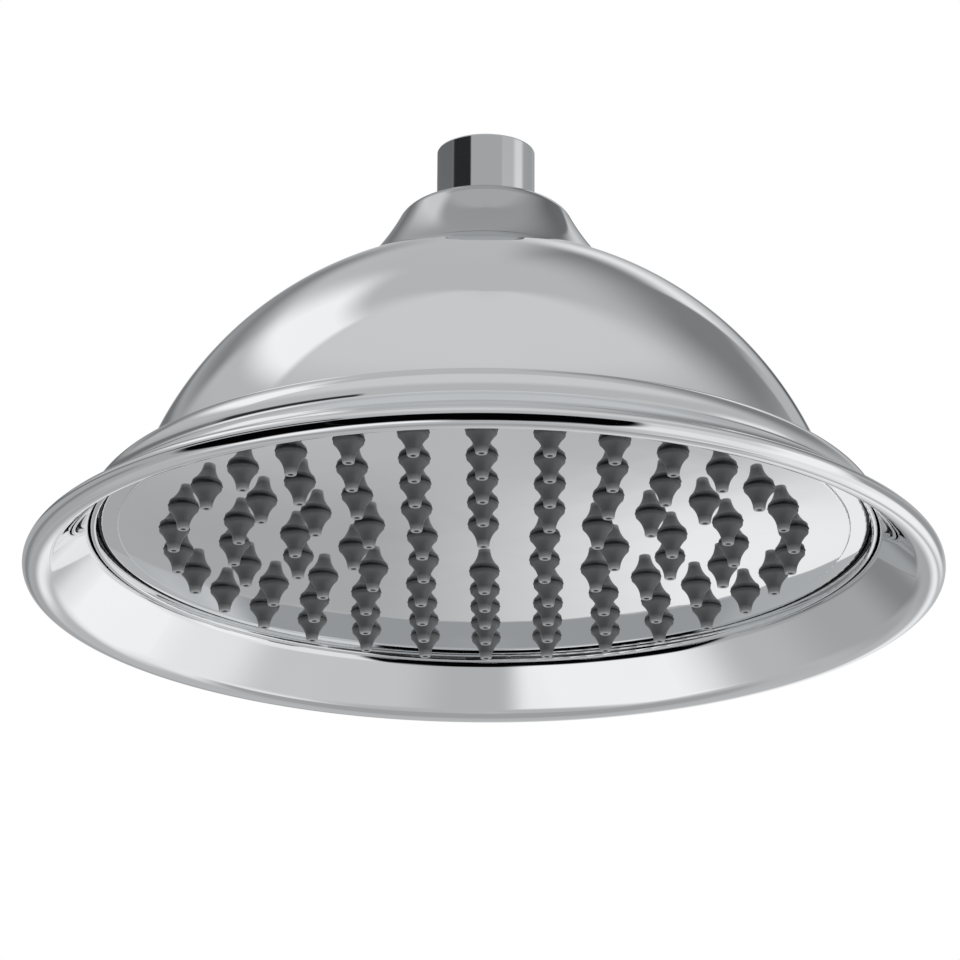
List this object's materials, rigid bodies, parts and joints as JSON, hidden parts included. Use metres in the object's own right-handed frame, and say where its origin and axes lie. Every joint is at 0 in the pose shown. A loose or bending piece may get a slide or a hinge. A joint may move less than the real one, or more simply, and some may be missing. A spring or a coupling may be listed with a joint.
{
  "type": "shower head",
  "caption": "Bell-shaped rain shower head: domed shell with a rounded shoulder and flared rim, spray face with soft nozzles, and a threaded inlet collar on top.",
  "frame": {"origin": "centre of the inlet collar's mouth, at the top of the head", "axes": "+Z along the head's axis, out of the inlet; the spray leaves towards -Z; a nozzle of each ring lies towards -Y, the front"},
  "size_m": [0.2286, 0.2286, 0.1178],
  "materials": {
    "collar_chrome": "polished chrome plating",
    "cap_chrome": "polished chrome plating",
    "bell_chrome": "polished chrome plating",
    "face_chrome": "mirror chrome plating",
    "rim_plating": "chrome-plated moulding",
    "nozzle_silicone": "satin silicone",
    "edge_rubber": "matt rubber",
    "black_rubber": "matt rubber",
    "screen_steel": "perforated stainless steel",
    "washer_steel": "plain stainless steel",
    "tube_brass": "turned brass",
    "white_moulding": "moulded plastic"
  },
  "bodies": {
    "root": {"inlet_collar": "collar_chrome", "inlet_washer": "black_rubber", "filter_screen": "screen_steel", "flow_regulator": "white_moulding", "regulator_o_ring": "black_rubber", "neck_cap": "cap_chrome", "cap_o_ring": "black_rubber", "clamp_washer": "washer_steel", "bell_shell": "bell_chrome", "shell_gasket": "black_rubber", "feed_tube": "tube_brass", "collar_o_ring": "black_rubber", "hub_insert": "tube_brass", "hub_washer": "black_rubber", "chamber_back": "rim_plating", "seat_gasket": "black_rubber", "chamber_seal": "black_rubber", "edge_gasket": "edge_rubber", "faceplate": "face_chrome", "faceplate_screws": "washer_steel", "nozzle_mat": "nozzle_silicone"}
  },
  "joints": []
}
